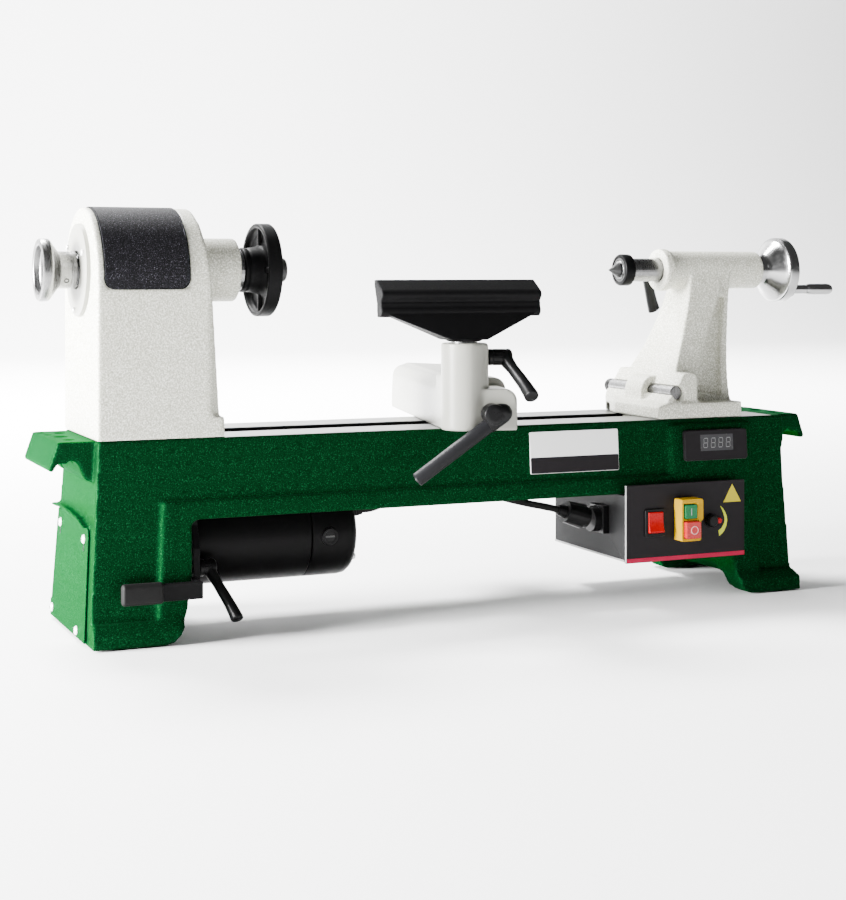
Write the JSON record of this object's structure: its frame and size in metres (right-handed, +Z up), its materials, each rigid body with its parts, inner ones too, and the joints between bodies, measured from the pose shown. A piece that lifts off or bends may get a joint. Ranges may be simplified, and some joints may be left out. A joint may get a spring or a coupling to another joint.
{
  "type": "wood lathe",
  "caption": "Bench-top wood lathe with a cast bed, headstock with hinged belt cover, swivelling tool rest, tailstock with handwheel, under-slung motor and a speed control box.",
  "frame": {"origin": "centre of the overall box on the bench plane, under the feet", "axes": "+X from headstock to tailstock, +Y away from the operator, +Z up"},
  "size_m": [0.8664, 0.3295, 0.39],
  "materials": {
    "green": "hammertone enamel",
    "cream": "hammertone enamel",
    "black": "gloss enamel",
    "steel": "turned",
    "chrome": "polished",
    "iron": "satin black",
    "rubber": "matt",
    "plastic_black": "moulded",
    "panel": "satin",
    "box_grey": "satin",
    "white": "plate",
    "yellow": "moulded",
    "red": "moulded",
    "button_green": "moulded",
    "board": "heat sink",
    "glass_black": "display"
  },
  "bodies": {
    "root": {"bed": "green", "rubber_foot_front_left": "rubber", "rubber_foot_front_right": "rubber", "rubber_foot_rear_left": "rubber", "rubber_foot_rear_right": "rubber", "end_cover": "green", "headstock": "cream", "rear_bearing": "steel", "front_bearing": "steel", "bearing_cap": "cream", "drive_belt": "rubber", "motor_pivot_pin": "steel", "control_box": "box_grey", "control_panel": "panel", "rocker_bezel": "plastic_black", "switch_housing": "yellow", "speed_controller": "board", "name_plate": "white", "display": "glass_black", "motor_lead": "rubber", "lead_clip": "plastic_black", "lead_plug": "plastic_black", "lead_socket": "plastic_black"},
    "belt_cover": {"belt_cover": "black"},
    "spindle": {"spindle": "steel", "spindle_pulley": "iron", "faceplate": "iron", "spur_centre": "steel", "outboard_wheel": "steel"},
    "motor": {"motor_plate": "iron", "motor_body": "black", "motor_end_bell": "black", "brush_cap": "black", "tension_lever": "iron", "tension_lever_grip": "rubber"},
    "motor_rotor": {"motor_shaft": "steel", "motor_pulley": "iron"},
    "motor_lock": {"motor_lock_lever": "plastic_black"},
    "rest_carriage": {"banjo_clamp_plate": "iron"},
    "rest_bolt": {"banjo_clamp_bolt": "steel"},
    "banjo": {"banjo": "cream"},
    "banjo_lock": {"banjo_lock_shaft": "steel", "banjo_lock_handle": "iron"},
    "rest_lock": {"rest_lock_lever": "plastic_black"},
    "tool_stem": {"tool_rest_stem": "steel"},
    "tool_rest": {"tool_rest_bar": "iron"},
    "tailstock": {"tailstock": "cream", "tailstock_clamp_bolt": "steel", "tailstock_clamp_plate": "iron"},
    "tailstock_lock": {"tailstock_lock_lever": "iron"},
    "quill": {"quill": "steel", "live_centre_body": "iron"},
    "live_point": {"live_centre_point": "steel"},
    "tail_wheel": {"tailstock_handwheel": "chrome"},
    "crank_grip": {"crank_grip": "chrome"},
    "quill_lock": {"quill_lock_lever": "plastic_black"},
    "power_rocker": {"power_rocker": "red"},
    "start_button": {"start_button": "button_green"},
    "stop_button": {"stop_button": "red"},
    "speed_knob": {"speed_knob": "plastic_black"}
  },
  "joints": [
    {"name": "belt_cover_hinge", "type": "hinge", "parent": "root", "child": "belt_cover", "pos_m": [-0.346, 0.01715, 0.37241], "axis": [-1, 0, 0], "range_deg": [0, 100]},
    {"name": "spindle_spin", "type": "hinge", "parent": "root", "child": "spindle", "pos_m": [-0.333, -0.0265, 0.332], "axis": [1, 0, 0], "continuous": true},
    {"name": "motor_tilt", "type": "hinge", "parent": "root", "child": "motor", "pos_m": [-0.301, 0.0195, 0.118], "axis": [-1, 0, 0], "range_deg": [0, 5.5], "deforming": ["drive_belt"]},
    {"name": "motor_spin", "type": "hinge", "parent": "motor", "child": "motor_rotor", "pos_m": [-0.333, -0.0265, 0.0795], "axis": [1, 0, 0], "continuous": true},
    {"name": "motor_lock_turn", "type": "hinge", "parent": "root", "child": "motor_lock", "pos_m": [-0.298, -0.0825, 0.061], "axis": [-1, 0, 0], "range_deg": [-25, 60]},
    {"name": "rest_carriage_slide", "type": "slide", "parent": "root", "child": "rest_carriage", "axis": [1, 0, 0], "range_m": [-0.12, 0.1]},
    {"name": "banjo_swivel", "type": "hinge", "parent": "rest_carriage", "child": "rest_bolt", "pos_m": [-0.0045, -0.0265, 0.159], "axis": [0, 0, 1], "range_deg": [-12, 25]},
    {"name": "banjo_slide", "type": "slide", "parent": "rest_bolt", "child": "banjo", "axis": [0.2171, 0.9761, 0], "range_m": [-0.05, 0.03]},
    {"name": "banjo_lock_turn", "type": "hinge", "parent": "banjo", "child": "banjo_lock", "pos_m": [-0.0045, -0.0265, 0.197], "axis": [0.2171, 0.9761, 0], "range_deg": [-80, 5]},
    {"name": "rest_lock_turn", "type": "hinge", "parent": "banjo", "child": "rest_lock", "pos_m": [-0.025, -0.12234, 0.249], "axis": [0.9761, -0.2171, 0], "range_deg": [-60, 8]},
    {"name": "tool_rest_height", "type": "slide", "parent": "banjo", "child": "tool_stem", "axis": [0, 0, 1], "range_m": [0, 0.045]},
    {"name": "tool_rest_turn", "type": "hinge", "parent": "tool_stem", "child": "tool_rest", "pos_m": [-0.04696, -0.11745, 0.29], "axis": [0, 0, 1], "range_deg": [-45, 45]},
    {"name": "tailstock_slide", "type": "slide", "parent": "root", "child": "tailstock", "axis": [1, 0, 0], "range_m": [-0.1, 0.04]},
    {"name": "tailstock_lock_turn", "type": "hinge", "parent": "tailstock", "child": "tailstock_lock", "pos_m": [0.207, -0.0265, 0.206], "axis": [0, 1, 0], "range_deg": [-40, 60]},
    {"name": "quill_slide", "type": "slide", "parent": "tailstock", "child": "quill", "axis": [-1, 0, 0], "range_m": [-0.03, 0.03]},
    {"name": "live_centre_spin", "type": "hinge", "parent": "quill", "child": "live_point", "pos_m": [0.167, -0.0265, 0.332], "axis": [1, 0, 0], "continuous": true},
    {"name": "tail_wheel_turn", "type": "hinge", "parent": "tailstock", "child": "tail_wheel", "pos_m": [0.367, -0.0265, 0.332], "axis": [1, 0, 0], "range_deg": [-2700, 2700]},
    {"name": "crank_grip_spin", "type": "hinge", "parent": "tail_wheel", "child": "crank_grip", "pos_m": [0.407, -0.0435, 0.311], "axis": [1, 0, 0], "continuous": true},
    {"name": "quill_lock_turn", "type": "hinge", "parent": "tailstock", "child": "quill_lock", "pos_m": [0.228, -0.0037, 0.332], "axis": [0, 1, 0], "range_deg": [-30, 60]},
    {"name": "power_rocker_rock", "type": "hinge", "parent": "root", "child": "power_rocker", "pos_m": [0.16325, -0.1145, 0.08], "axis": [1, 0, 0], "range_deg": [0, 9]},
    {"name": "start_button_press", "type": "slide", "parent": "root", "child": "start_button", "axis": [0, 1, 0], "range_m": [0, 0.003], "stiffness_N_per_m": 250},
    {"name": "stop_button_press", "type": "slide", "parent": "root", "child": "stop_button", "axis": [0, 1, 0], "range_m": [0, 0.003], "stiffness_N_per_m": 250},
    {"name": "speed_knob_turn", "type": "hinge", "parent": "root", "child": "speed_knob", "pos_m": [0.228, -0.1215, 0.0785], "axis": [0, -1, 0], "range_deg": [-150, 90]}
  ],
  "couplings": [
    {"joint": "motor_spin", "follows": "spindle_spin", "ratio": 1.2414},
    {"joint": "quill_slide", "follows": "tail_wheel_turn", "m_per_rad": 0.0006366}
  ]
}
